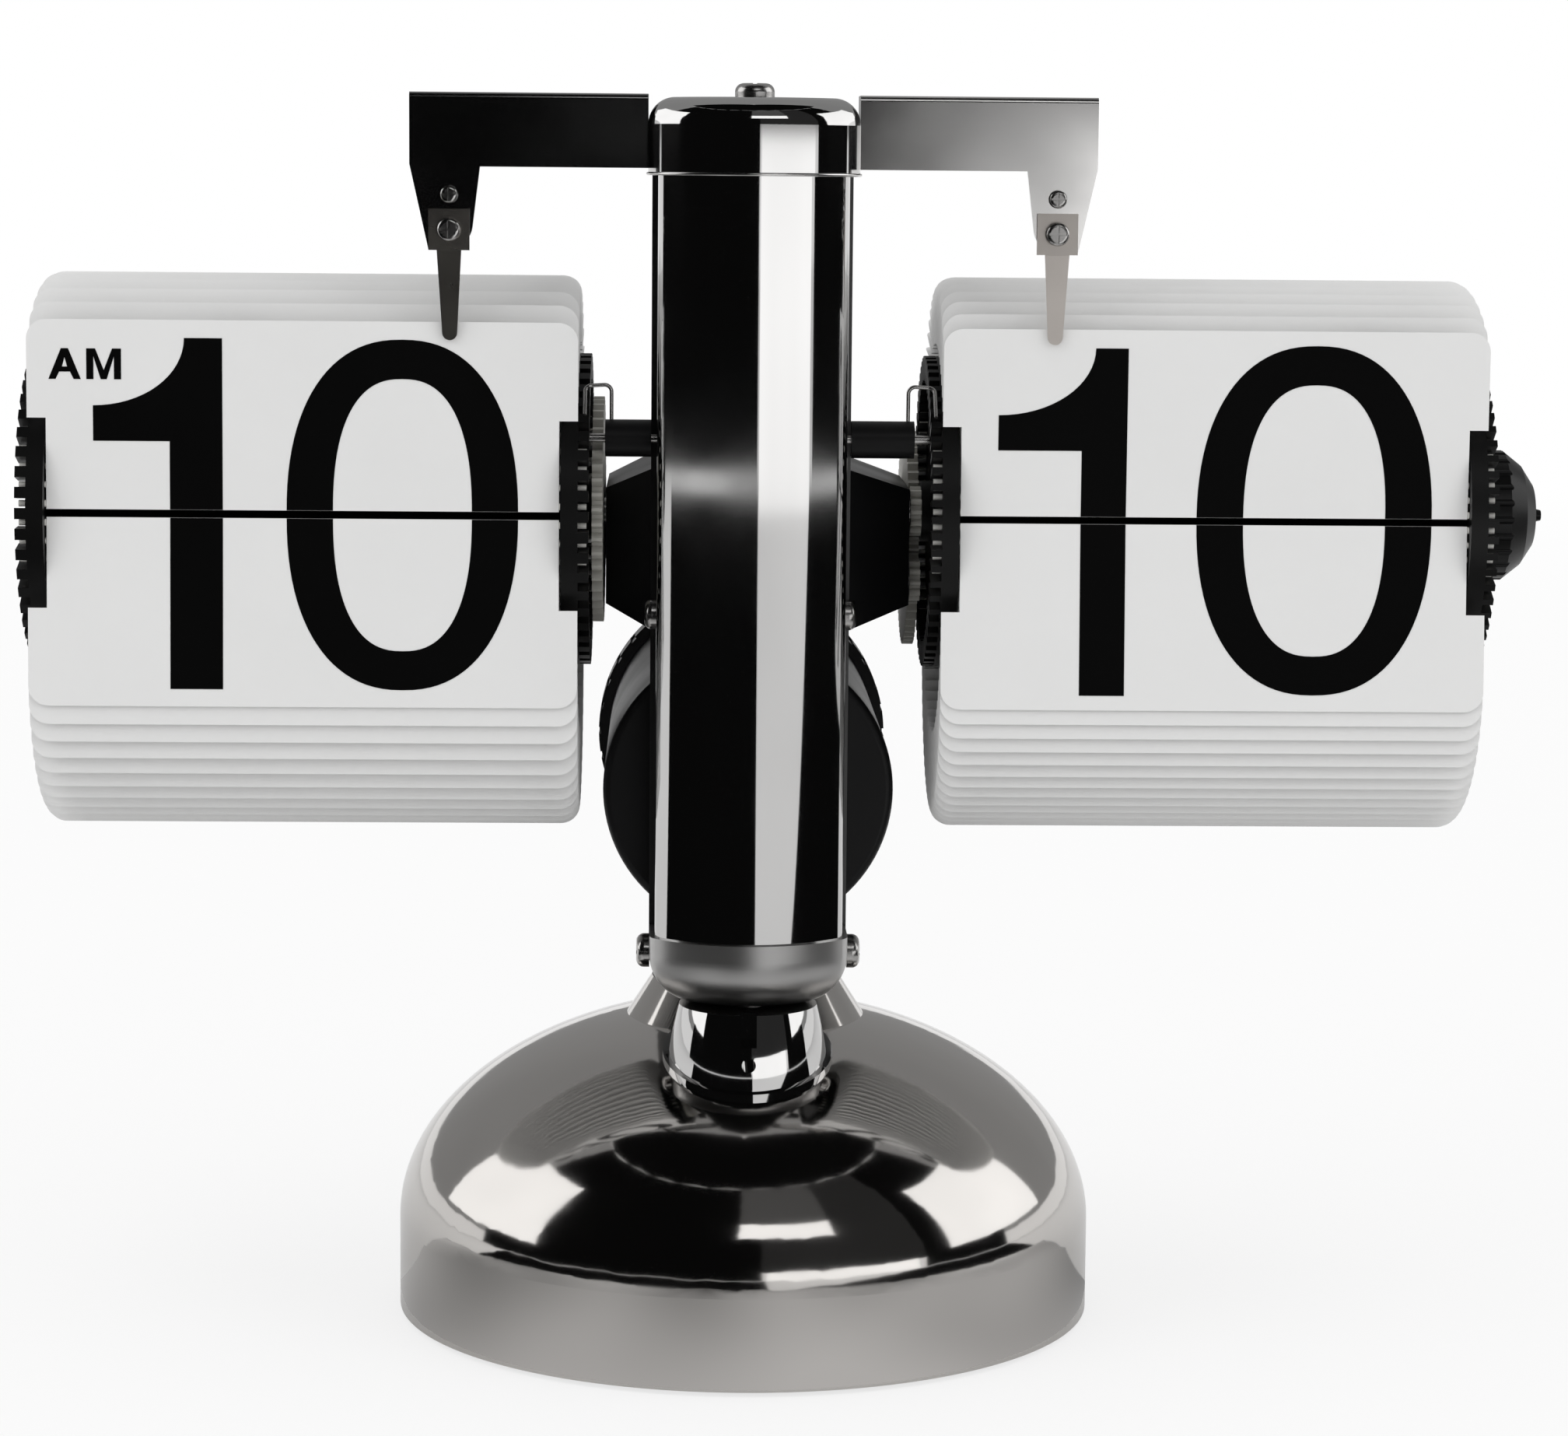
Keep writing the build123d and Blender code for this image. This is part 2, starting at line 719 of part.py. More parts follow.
with BuildPart() as battery_cap:
    add(can(case_back - battery_cap_skirt, cap_end_y, battery_cap_radius, case_radius + running_gap))
    add(can(cap_face_y, cap_end_y, case_radius + 0.5))
    fillet(battery_cap.faces().sort_by(Axis.Y)[-1].edges(), 0.8)
    with BuildSketch(Plane.XZ.offset(-cap_end_y)):
        with Locations((0, case_z)):
            Rectangle(1.5 * case_radius, grip_width)
    extrude(amount=-grip_height)
    with BuildSketch(Plane.XZ.offset(battery_cap_skirt - case_back)):
        with Locations((0, case_z)):
            with PolarLocations(battery_cap_radius, rib_count):
                Rectangle(0.6, 1.0)
    extrude(amount=-battery_cap_skirt, mode=Mode.SUBTRACT)
keep(battery_cap, "battery_cap")

with BuildPart() as cap_contact:
    add(can(cap_face_y - contact_thickness, cap_face_y, 0.7 * case_radius))
keep(cap_contact, "cap_contact")


# Drums
def pin_angle(side, index):
    """Angle of a leaf's hinge round the drum, from the front over the top, for whole steps from the split line."""
    count = minute_leaf_count if minute_side(side) else hour_leaf_count
    return 2 * pi * (index + split_share) / count


def drum_disc(side, x, crown_outward):
    """A disc of a drum: a plate with a hole for each leaf's pin, and a slotted crown on its far face."""
    count = minute_leaf_count if minute_side(side) else hour_leaf_count
    first = degrees(pi - pin_angle(side, 0))
    crown_x = x + disc_thickness if crown_outward else x - crown_depth
    plate = slab(side, x, disc_thickness)
    crown = slab(side, crown_x, crown_depth)
    with BuildPart(mode=Mode.PRIVATE) as disc:
        with BuildSketch(Plane(origin=(plate.origin.X, 0, drum_z), x_dir=(0, 1, 0), z_dir=(1, 0, 0))):
            Circle(disc_radius)
            Circle(hub_radius + fit, mode=Mode.SUBTRACT)
            with PolarLocations(hinge_radius, count, start_angle=first):
                Circle(pin_radius + fit, mode=Mode.SUBTRACT)
        extrude(amount=disc_thickness)
        with BuildSketch(Plane(origin=(crown.origin.X, 0, drum_z), x_dir=(0, 1, 0), z_dir=(1, 0, 0))):
            Circle(disc_radius)
            Circle(crown_inner_radius, mode=Mode.SUBTRACT)
            with PolarLocations((disc_radius + crown_inner_radius) / 2, count, start_angle=first):
                Rectangle(disc_radius, slot_width, mode=Mode.SUBTRACT)
        extrude(amount=crown_depth)
    return disc.part


def hinge_pins(side):
    """A short pin at each end of every leaf, through the drum's discs."""
    count = minute_leaf_count if minute_side(side) else hour_leaf_count
    first = degrees(pi - pin_angle(side, 0))
    inner_end = (drum_inner_x + pin_inset, narrow_inner_x - running_gap)
    outer_end = (narrow_outer_x + running_gap, drum_outer_x - pin_inset)
    with BuildPart(mode=Mode.PRIVATE) as pins:
        for x_from, x_to in (inner_end, outer_end):
            start = slab(side, x_from, x_to - x_from).origin.X
            with BuildSketch(Plane(origin=(start, 0, drum_z), x_dir=(0, 1, 0), z_dir=(1, 0, 0))):
                with PolarLocations(hinge_radius, count, start_angle=first):
                    Circle(pin_radius)
            extrude(amount=x_to - x_from)
    return pins.part


def spool(side, x_from):
    """The tube that joins a drum's two discs and turns on the shaft."""
    ends = sorted((at(side, x_from), at(side, drum_outer_x)))
    return rod(ends[0], ends[1], 0, drum_z, hub_radius, bore_radius)


with BuildPart() as hour_inner_disc:
    add(drum_disc(-1, disc_inner_x, False))
keep(hour_inner_disc, "hour_inner_disc")

with BuildPart() as hour_outer_disc:
    add(drum_disc(-1, disc_outer_x, True))
keep(hour_outer_disc, "hour_outer_disc")

with BuildPart() as hour_spool:
    add(spool(-1, gear_x))
keep(hour_spool, "hour_spool")

with BuildPart() as minute_inner_disc:
    add(drum_disc(1, disc_inner_x, False))
keep(minute_inner_disc, "minute_inner_disc")

with BuildPart() as minute_outer_disc:
    add(drum_disc(1, disc_outer_x, True))
keep(minute_outer_disc, "minute_outer_disc")

with BuildPart() as minute_spool:
    add(spool(1, gear_x + gear_thickness))
keep(minute_spool, "minute_spool")

with BuildPart() as hour_leaf_pins:
    add(hinge_pins(-1))
keep(hour_leaf_pins, "hour_leaf_pins")

with BuildPart() as minute_leaf_pins:
    add(hinge_pins(1))
keep(minute_leaf_pins, "minute_leaf_pins")

clip_thickness = 0.6
shaft_from = at(-1, drum_outer_x + clip_thickness + 0.4)
shaft_to = at(1, drum_outer_x - 1.0)

with BuildPart() as drum_shaft:
    add(rod(shaft_from, shaft_to, 0, drum_z, shaft_radius))
keep(drum_shaft, "drum_shaft")

with BuildPart() as shaft_clip:
    clip_from = at(-1, drum_outer_x + clip_thickness + running_gap)
    add(rod(clip_from, clip_from + clip_thickness, 0, drum_z, 2.6, shaft_radius))
keep(shaft_clip, "shaft_clip")

knob_from = at(1, drum_outer_x)
knob_lobes = 24

with BuildPart() as setting_knob:
    with BuildSketch(Plane(origin=(0, 0, drum_z), x_dir=(1, 0, 0), z_dir=(0, -1, 0))):
        with BuildLine():
            Polyline((knob_from, 0), (knob_from, knob_radius), (knob_from + 0.5 * knob_length, knob_radius),
                     (knob_from + 0.8 * knob_length, 0.78 * knob_radius),
                     (knob_from + knob_length, 0.5 * knob_radius),
                     (knob_from + knob_length, 0.12 * knob_radius),
                     (knob_from + knob_length + knob_nub, 0.08 * knob_radius),
                     (knob_from + knob_length + knob_nub, 0), (knob_from, 0))
        make_face()
    revolve(axis=Axis((0, 0, drum_z), (1, 0, 0)))
    with BuildSketch(Plane(origin=(knob_from + 0.8, 0, drum_z), x_dir=(0, 1, 0), z_dir=(1, 0, 0))):
        with PolarLocations(knob_radius + 0.25, knob_lobes):
            Circle(0.55)
    extrude(amount=knob_length, mode=Mode.SUBTRACT)
keep(setting_knob, "setting_knob")


# Leaves
def leaf(side):
    """One leaf in its own plane: X across, Y from its short tail past the hinge line to the free edge."""
    inner, outer = sorted((at(side, leaf_inner_x), at(side, leaf_outer_x)))
    narrow_from, narrow_to = sorted((at(side, narrow_inner_x), at(side, narrow_outer_x)))
    tail = minute_leaf_tail if minute_side(side) else hour_leaf_tail
    with BuildPart(mode=Mode.PRIVATE) as plate:
        with BuildSketch(Plane.XY.offset(-leaf_thickness / 2)) as outline:
            with Locations(((inner + outer) / 2, (leaf_notch + leaf_length) / 2)):
                Rectangle(leaf_width, leaf_length - leaf_notch)
            fillet(outline.vertices().group_by(Axis.Y)[-1], leaf_corner)
            with Locations(((narrow_from + narrow_to) / 2, (leaf_notch - tail) / 2)):
                Rectangle(narrow_to - narrow_from, leaf_notch + tail)
        extrude(amount=leaf_thickness)
    return plate.part


def leaf_place(side, index):
    """Plane of a leaf: standing tangent to the drum over the top, hanging below it."""
    angle = pin_angle(side, index)
    around = degrees(angle)
    lift = minute_lift_deg if minute_side(side) else hour_lift_deg
    rear = minute_rear_splay_deg if minute_side(side) else hour_rear_splay_deg
    front = minute_front_splay_deg if minute_side(side) else hour_front_splay_deg
    hanging = 180 - rear + (rear + front) * max(0.0, around - 180) / 180
    lean = radians(min(around - lift, hanging))
    hinge = (0, -hinge_radius * cos(angle), drum_z + hinge_radius * sin(angle))
    return Plane(origin=hinge, x_dir=(1, 0, 0), z_dir=(0, -cos(lean), sin(lean)))


def leaf_group(side, indices):
    """Several leaves of one drum, each a solid of its own."""
    one = leaf(side)
    with BuildPart(mode=Mode.PRIVATE) as group:
        with Locations(*[leaf_place(side, index) for index in indices]):
            add(one)
    return group.part


def leaf_sets(side):
    """Index ranges of the leaves that wait at the back and over the top, and of those that have fallen."""
    count = minute_leaf_count if minute_side(side) else hour_leaf_count
    half = count // 2
    return range(1, half), range(half, 3 * count // 4), range(3 * count // 4, count)


for side, prefix in ((-1, "hour"), (1, "minute")):
    upper, rear_set, fallen = leaf_sets(side)
    with BuildPart() as falling_leaf:
        add(leaf_group(side, [0]))
    keep(falling_leaf, f"{prefix}_falling_leaf")
    with BuildPart() as waiting_leaves:
        add(leaf_group(side, upper))
    keep(waiting_leaves, f"{prefix}_waiting_leaves")
    with BuildPart() as rear_leaves:
        add(leaf_group(side, rear_set))
    keep(rear_leaves, f"{prefix}_rear_leaves")
    with BuildPart() as fallen_leaves:
        add(leaf_group(side, fallen))
    keep(fallen_leaves, f"{prefix}_fallen_leaves")


# Arms: a hanging leg on a bar, with folded flanges along the top and against the cap
arm_inner_x = post_half_width + cap_grow
arm_bar_bottom = arm_top - arm_bar_height
arm_plane = Plane.XZ.offset(-arm_y - arm_sheet)


def arm(side):
    """Bracket arm of one side."""
    foot_out = finger_x + arm_foot_width / 2
    foot_in = finger_x - arm_foot_width / 2
    with BuildPart(mode=Mode.PRIVATE) as bracket:
        with BuildSketch(arm_plane) as outline:
            with BuildLine():
                Polyline((side * arm_inner_x, arm_top), (side * arm_reach, arm_top),
                         (side * arm_reach, arm_top - 9.0), (side * foot_out, arm_leg_bottom),
                         (side * foot_in, arm_leg_bottom), (side * arm_leg_inner, arm_bar_bottom),
                         (side * arm_inner_x, arm_bar_bottom), close=True)
            make_face()
            inside = outline.vertices().sort_by_distance((side * arm_leg_inner, arm_y, arm_bar_bottom))[0]
            near = outline.vertices().sort_by_distance((side * arm_inner_x, arm_y, arm_bar_bottom))[0]
            fillet([inside, near], 3.4)
        extrude(amount=arm_sheet)
        with BuildSketch(Plane.XY.offset(arm_top - arm_sheet)):
            with Locations((side * (arm_inner_x + arm_reach) / 2, arm_y + arm_flange / 2)):
                Rectangle(arm_reach - arm_inner_x, arm_flange)
        extrude(amount=arm_sheet)
        with BuildSketch(Plane.YZ.offset(side * (arm_inner_x + arm_sheet / 2) - arm_sheet / 2)):
            with Locations((arm_y + arm_flange / 2, (arm_top + arm_bar_bottom) / 2)):
                Rectangle(arm_flange, arm_bar_height)
        extrude(amount=arm_sheet)
        fold = bracket.edges().filter_by(Axis.X).group_by(Axis.Z)[-1].sort_by(Axis.Y)[0]
        fillet(fold, 0.8 * arm_sheet)
        with BuildSketch(arm_plane):
            for z, radius in finger_screw_seats:
                with Locations((side * finger_x, z)):
                    Circle(radius + fit)
        extrude(amount=arm_sheet, mode=Mode.SUBTRACT)
        add(side_hole(side * arm_inner_x, arm_screw_y, arm_screw_z, arm_screw_shank + fit, 3.0), mode=Mode.SUBTRACT)
    return bracket.part


finger_screw_seats = ((144.0, 0.7), (148.4, 0.6))

with BuildPart() as hour_arm:
    add(arm(-1))
keep(hour_arm, "hour_arm")

with BuildPart() as minute_arm:
    add(arm(1))
keep(minute_arm, "minute_arm")


def leaf_front_y(side, z):
    """Y of the standing front leaf's face at a height."""
    angle = pin_angle(side, 0)
    lift = minute_lift_deg if minute_side(side) else hour_lift_deg
    lean = angle - radians(lift)
    rise = z - drum_z - hinge_radius * sin(angle)
    return -hinge_radius * cos(angle) + rise * tan(lean) - leaf_thickness / 2


def finger(side):
    """Sprung strip, clamped on the arm's foot, whose tip holds the front leaf's top edge."""
    back = arm_y
    tip_back = leaf_front_y(side, finger_tip_z) - finger_gap
    with BuildPart(mode=Mode.PRIVATE) as strip:
        with BuildSketch(Plane.YZ.offset(side * finger_x - arm_foot_width / 2)):
            with BuildLine():
                Polyline((back, finger_clamp_top), (back, arm_leg_bottom), (tip_back, finger_tip_z),
                         (tip_back - finger_sheet, finger_tip_z), (back - finger_sheet, arm_leg_bottom - 0.1),
                         (back - finger_sheet, finger_clamp_top), close=True)
            make_face()
        extrude(amount=arm_foot_width)
        with BuildSketch(Plane.XZ.offset(-arm_y - 6.0)) as outline:
            with Locations((side * finger_x, (finger_clamp_top + arm_leg_bottom) / 2)):
                Rectangle(arm_foot_width, finger_clamp_top - arm_leg_bottom)
            with BuildLine():
                Polyline((side * finger_x - finger_root_width / 2, arm_leg_bottom),
                         (side * finger_x - finger_tip_width / 2, finger_tip_z + finger_tip_width / 2),
                         (side * finger_x + finger_tip_width / 2, finger_tip_z + finger_tip_width / 2),
                         (side * finger_x + finger_root_width / 2, arm_leg_bottom), close=True)
            make_face()
            with Locations((side * finger_x, finger_tip_z + finger_tip_width / 2)):
                Circle(finger_tip_width / 2)
        extrude(amount=12.0, mode=Mode.INTERSECT)
        with BuildSketch(Plane.XZ.offset(-arm_y - 1.0)):
            with Locations((side * finger_x, finger_screw_seats[0][0])):
                Circle(finger_screw_seats[0][1] + fit)
        extrude(amount=4.0, mode=Mode.SUBTRACT)
    return strip.part


with BuildPart() as hour_finger:
    add(finger(-1))
keep(hour_finger, "hour_finger")

with BuildPart() as minute_finger:
    add(finger(1))
keep(minute_finger, "minute_finger")

with BuildPart() as finger_screws:
    for side in (-1, 1):
        clamp_z, clamp_shank = finger_screw_seats[0]
        rivet_z, rivet_shank = finger_screw_seats[1]
        clamp_seat = (side * finger_x, arm_y - finger_sheet, clamp_z)
        rivet_seat = (side * finger_x, arm_y, rivet_z)
        add(dome_screw(clamp_seat, (0, -1, 0), 1.5, 0.9, clamp_shank, finger_sheet + arm_sheet))
        add(dome_screw(rivet_seat, (0, -1, 0), 1.15, 0.8, rivet_shank, arm_sheet))
keep(finger_screws, "finger_screws")

with BuildPart() as arm_screws:
    for side in (-1, 1):
        seat = (side * (arm_inner_x + arm_sheet), arm_screw_y, arm_screw_z)
        add(dome_screw(seat, (side, 0, 0), 1.5, 1.0, arm_screw_shank, arm_screw_length))
keep(arm_screws, "arm_screws")

# Upper stud with its sleeves and the wire springs that click on the crowns
sleeve_from = chassis_half_width
sleeve_to = gear_x - 0.3

with BuildPart() as stud:
    add(rod(at(-1, disc_inner_x - 0.3), at(1, disc_inner_x - 0.3), stud_y, stud_z, stud_radius))
keep(stud, "stud")

with BuildPart() as stud_sleeves:
    for side in (-1, 1):
        ends = sorted((side * sleeve_from, at(side, sleeve_to)))
        add(rod(ends[0], ends[1], stud_y, stud_z, sleeve_radius, stud_radius))
keep(stud_sleeves, "stud_sleeves")


def click_spring(side):
    """Bent wire from the sleeve's top, out over the crown and down along it."""
    foot_x = at(side, sleeve_to - 0.8)
    tip_x = at(side, drum_inner_x + 0.6)
    over = disc_radius + 1.2
    high = radians(52.0)
    low = radians(38.0)
    foot = (foot_x, stud_y, stud_z + sleeve_radius - wire_radius)
    rise = (foot_x, stud_y - 0.4, drum_z + over * sin(high))
    top = (tip_x, -over * cos(high), drum_z + over * sin(high) - 0.2)
    tip = (tip_x, -over * cos(low), drum_z + over * sin(low))
    with BuildPart(mode=Mode.PRIVATE) as wire:
        with BuildLine() as route:
            FilletPolyline(foot, rise, top, tip, radius=0.9)
        with BuildSketch(Plane(origin=foot, z_dir=route.line % 0)):
            Circle(wire_radius)
        sweep()
    return wire.part


with BuildPart() as click_springs:
    for side in (-1, 1):
        add(click_spring(side))
        add(rod(-far, far, stud_y, stud_z, sleeve_radius + fit), mode=Mode.SUBTRACT)
keep(click_springs, "click_springs")
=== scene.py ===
"""Looks of the flip clock: finishes, printed numerals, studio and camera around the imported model."""
import json
import math

import bmesh
import bpy
from mathutils import Matrix, Vector
from mathutils.geometry import convex_hull_2d


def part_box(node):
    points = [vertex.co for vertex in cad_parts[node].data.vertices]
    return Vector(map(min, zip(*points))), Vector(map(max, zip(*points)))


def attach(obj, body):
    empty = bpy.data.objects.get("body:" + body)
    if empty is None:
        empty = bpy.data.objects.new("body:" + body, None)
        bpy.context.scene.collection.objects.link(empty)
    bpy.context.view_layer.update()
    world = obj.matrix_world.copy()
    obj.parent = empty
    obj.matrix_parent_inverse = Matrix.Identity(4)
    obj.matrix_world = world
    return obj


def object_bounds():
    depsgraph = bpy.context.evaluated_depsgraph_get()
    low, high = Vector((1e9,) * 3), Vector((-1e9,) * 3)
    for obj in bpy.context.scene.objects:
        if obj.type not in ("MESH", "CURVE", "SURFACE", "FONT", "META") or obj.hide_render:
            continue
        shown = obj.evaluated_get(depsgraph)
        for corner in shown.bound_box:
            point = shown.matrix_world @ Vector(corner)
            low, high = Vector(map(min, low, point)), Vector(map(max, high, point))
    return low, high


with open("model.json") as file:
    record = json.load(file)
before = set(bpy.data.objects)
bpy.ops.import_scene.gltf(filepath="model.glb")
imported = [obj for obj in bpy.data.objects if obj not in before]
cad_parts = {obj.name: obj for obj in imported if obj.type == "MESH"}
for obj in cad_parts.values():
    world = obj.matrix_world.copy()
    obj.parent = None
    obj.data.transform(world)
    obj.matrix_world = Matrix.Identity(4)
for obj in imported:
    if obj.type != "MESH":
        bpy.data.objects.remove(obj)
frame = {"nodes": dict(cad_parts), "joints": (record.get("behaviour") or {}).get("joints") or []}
cad_low, cad_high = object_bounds()
nodes = frame["nodes"]
MM = 0.001


def link(made):
    bpy.context.scene.collection.objects.link(made)
    return made


# Finishes
def new_material(name, color, metallic, roughness, ior=1.5):
    made = bpy.data.materials.new(name)
    made.use_nodes = True
    shader = made.node_tree.nodes["Principled BSDF"]
    shader.inputs["Base Color"].default_value = (*color, 1.0)
    shader.inputs["Metallic"].default_value = metallic
    shader.inputs["Roughness"].default_value = roughness
    shader.inputs["IOR"].default_value = ior
    return made, made.node_tree, shader


def noise(tree, scale, detail=3.0, stretch=(1, 1, 1), rough=0.5):
    """Noise over the object's own coordinates, in cells a metre."""
    place = tree.nodes.new("ShaderNodeTexCoord")
    mapping = tree.nodes.new("ShaderNodeMapping")
    mapping.inputs["Scale"].default_value = stretch
    texture = tree.nodes.new("ShaderNodeTexNoise")
    texture.inputs["Scale"].default_value = scale
    texture.inputs["Detail"].default_value = detail
    texture.inputs["Roughness"].default_value = rough
    tree.links.new(place.outputs["Object"], mapping.inputs["Vector"])
    tree.links.new(mapping.outputs["Vector"], texture.inputs["Vector"])
    return texture.outputs["Fac"]


def spread(tree, value, low, high, start=0.3, end=0.7):
    """The noise between start and end, spread from low to high."""
    ranged = tree.nodes.new("ShaderNodeMapRange")
    ranged.inputs["From Min"].default_value = start
    ranged.inputs["From Max"].default_value = end
    ranged.inputs["To Min"].default_value = low
    ranged.inputs["To Max"].default_value = high
    tree.links.new(value, ranged.inputs["Value"])
    return ranged.outputs["Result"]


def bump(tree, shader, height, strength, distance):
    node = tree.nodes.new("ShaderNodeBump")
    node.inputs["Strength"].default_value = strength
    node.inputs["Distance"].default_value = distance
    tree.links.new(height, node.inputs["Height"])
    tree.links.new(node.outputs["Normal"], shader.inputs["Normal"])


def tint(tree, shader, value, dark, light):
    """Base colour between two tones, by a value from 0 to 1."""
    mix = tree.nodes.new("ShaderNodeMix")
    mix.data_type = "RGBA"
    mix.inputs[6].default_value = (*dark, 1.0)
    mix.inputs[7].default_value = (*light, 1.0)
    tree.links.new(value, mix.inputs[0])
    tree.links.new(mix.outputs[2], shader.inputs["Base Color"])


def metal(name, color, roughness, wear, grain, stretch=(1, 1, 1), depth=0.0):
    """Bare metal whose roughness wanders a little, with a fine grain where it is brushed."""
    made, tree, shader = new_material(name, color, 1.0, roughness)
    smudge = noise(tree, 60.0, 4.0)
    tree.links.new(spread(tree, smudge, roughness, roughness + wear), shader.inputs["Roughness"])
    darker = tuple(0.9 * c for c in color)
    tint(tree, shader, spread(tree, noise(tree, 25.0, 2.0), 0.0, 1.0), darker, color)
    if depth:
        bump(tree, shader, noise(tree, grain, 2.0, stretch), depth, 0.00002)
    return made


def plastic(name, color, roughness, wear, grain, depth, variation=0.9, gloss=0.25):
    """Moulded plastic with a fine surface texture."""
    made, tree, shader = new_material(name, color, 0.0, roughness, 1.48)
    shader.inputs["Specular IOR Level"].default_value = gloss
    smudge = noise(tree, 45.0, 3.0)
    tree.links.new(spread(tree, smudge, roughness, roughness + wear), shader.inputs["Roughness"])
    tint(tree, shader, spread(tree, noise(tree, 90.0, 3.0), 0.0, 1.0),
         tuple(variation * c for c in color), color)
    bump(tree, shader, noise(tree, grain, 3.0), depth, 0.00003)
    return made


chrome = metal("chrome_plate", (0.62, 0.615, 0.61), 0.03, 0.03, 400.0)
base_chrome = metal("chrome_base", (0.57, 0.55, 0.53), 0.05, 0.05, 400.0)
collar_steel = metal("satin_collar", (0.52, 0.515, 0.51), 0.30, 0.08, 900.0, (1, 1, 14), 0.25)
# Two tones of one chrome: the hour arm's darker tone is painted shade and the minute arm's lighter tone is a painted
# highlight; the lighter one also serves the cap's highlight bead
arm_shaded_chrome = metal("arm_chrome_painted_shade", (0.30, 0.30, 0.30), 0.10, 0.06, 500.0)
arm_highlight_chrome = metal("arm_chrome_painted_highlight", (0.80, 0.79, 0.78), 0.10, 0.08, 500.0)
screw_steel = metal("screw_steel", (0.55, 0.54, 0.53), 0.16, 0.12, 900.0, (1, 1, 1), 0.1)
# Two tones of one steel: the hour finger's darker tone is painted shade and the minute finger's light warm tone is a
# painted highlight
finger_shaded_steel = metal("finger_steel_painted_shade", (0.36, 0.34, 0.31), 0.22, 0.12, 900.0, (12, 12, 1), 0.2)
finger_highlight_steel = metal("finger_steel_painted_highlight", (0.86, 0.80, 0.75), 0.34, 0.12, 900.0, (12, 12, 1), 0.2)
dark_steel = metal("blackened_steel", (0.10, 0.10, 0.10), 0.35, 0.15, 700.0, (1, 1, 1), 0.15)
brass = metal("brass_contact", (0.72, 0.55, 0.26), 0.28, 0.12, 700.0, (1, 1, 1), 0.1)
iron = metal("cast_weight", (0.12, 0.12, 0.12), 0.6, 0.2, 500.0, (1, 1, 1), 0.6)
drum_black = plastic("drum_black", (0.004, 0.004, 0.004), 0.34, 0.12, 1500.0, 0.12)
box_black = plastic("box_black", (0.005, 0.005, 0.0055), 0.30, 0.14, 1500.0, 0.18)
case_black = plastic("case_black", (0.005, 0.005, 0.0055), 0.33, 0.12, 1500.0, 0.15)
knob_black = plastic("knob_black", (0.004, 0.004, 0.004), 0.28, 0.10, 1500.0, 0.10)
rubber = plastic("pad_rubber", (0.02, 0.02, 0.02), 0.75, 0.1, 2500.0, 0.5)
leaf_white = plastic("leaf_white", (0.80, 0.80, 0.795), 0.42, 0.10, 1200.0, 0.05, 0.985)
pin_white = plastic("pin_white", (0.78, 0.77, 0.73), 0.35, 0.1, 900.0, 0.05)
gear_white = plastic("gear_natural", (0.50, 0.49, 0.45), 0.45, 0.1, 900.0, 0.10)
jacket = plastic("cell_jacket", (0.06, 0.08, 0.12), 0.3, 0.1, 600.0, 0.05)
ink = plastic("numeral_ink", (0.0025, 0.0025, 0.0025), 0.55, 0.08, 1800.0, 0.08, 0.9, 0.05)

finish_of = {
    "base_dome": base_chrome, "neck": chrome, "post_cover": chrome, "top_cap": chrome, "collar": collar_steel,
    "hour_arm": arm_shaded_chrome, "minute_arm": arm_highlight_chrome, "hour_finger": finger_shaded_steel, "minute_finger": finger_highlight_steel,
    "base_weight": iron, "base_pad": rubber, "chassis": dark_steel, "gearbox_shell": box_black,
    "gearbox_cover": box_black, "movement": box_black, "battery_case": case_black, "battery_cap": case_black,
    "battery_cell": jacket, "front_contact": brass, "cap_contact": brass, "setting_knob": knob_black,
    "stud_sleeves": box_black,
}
for name in nodes:
    if name.endswith(("_disc", "_spool")):
        finish_of[name] = drum_black
    elif name.endswith(("_leaf", "_leaves")):
        finish_of[name] = leaf_white
    elif name.endswith("_leaf_pins"):
        finish_of[name] = pin_white
    elif name.endswith(("_gear", "_pinion")):
        finish_of[name] = gear_white
    finish_of.setdefault(name, screw_steel)

for name, node in nodes.items():
    node.data.materials.clear()
    node.data.materials.append(finish_of[name])

# Printed numerals. A glyph is a list of closed loops in millimetres: x as on the clock, and height over the split.
split_z = next(joint["pos_m"][2] for joint in frame["joints"] if joint["name"] == "hour_drum_turn") / MM
leaf_thickness = 0.15
hinge_radius = 18.4
split_share = 0.7
print_depth = 0.04
print_lift = 0.005
print_inset = 0.02
sides = {"hour": {"count": 48, "lift": 3.5, "rear": 4.0, "front": 4.0, "tail": 0.7},
         "minute": {"count": 60, "lift": 4.2, "rear": 7.0, "front": 5.0, "tail": 0.5}}
ones = {"hour": {"stem": (9.7, 16.4), "height": (-21.9, 22.8), "flag": (9.7, 14.2)},
        "minute": {"stem": (10.7, 16.5), "height": (-22.1, 22.4), "flag": (9.3, 13.8)}}


def oval(x_from, x_to, low, high, power, steps=96):
    """Closed loop of a squarish oval."""
    x, z = (x_from + x_to) / 2, (low + high) / 2
    loop = []
    for step in range(steps):
        angle = 2 * math.pi * step / steps
        c, s = math.cos(angle), math.sin(angle)
        loop.append((x + (x_to - x_from) / 2 * math.copysign(abs(c) ** (2 / power), c),
                     z + (high - low) / 2 * math.copysign(abs(s) ** (2 / power), s)))
    return loop


def zero(x_from, x_to, low, high, stroke_x, stroke_z):
    outer = oval(x_from, x_to, low, high, 2.3)
    inner = oval(x_from + stroke_x, x_to - stroke_x, low + stroke_z, high - stroke_z, 2.45)
    return [outer, inner]


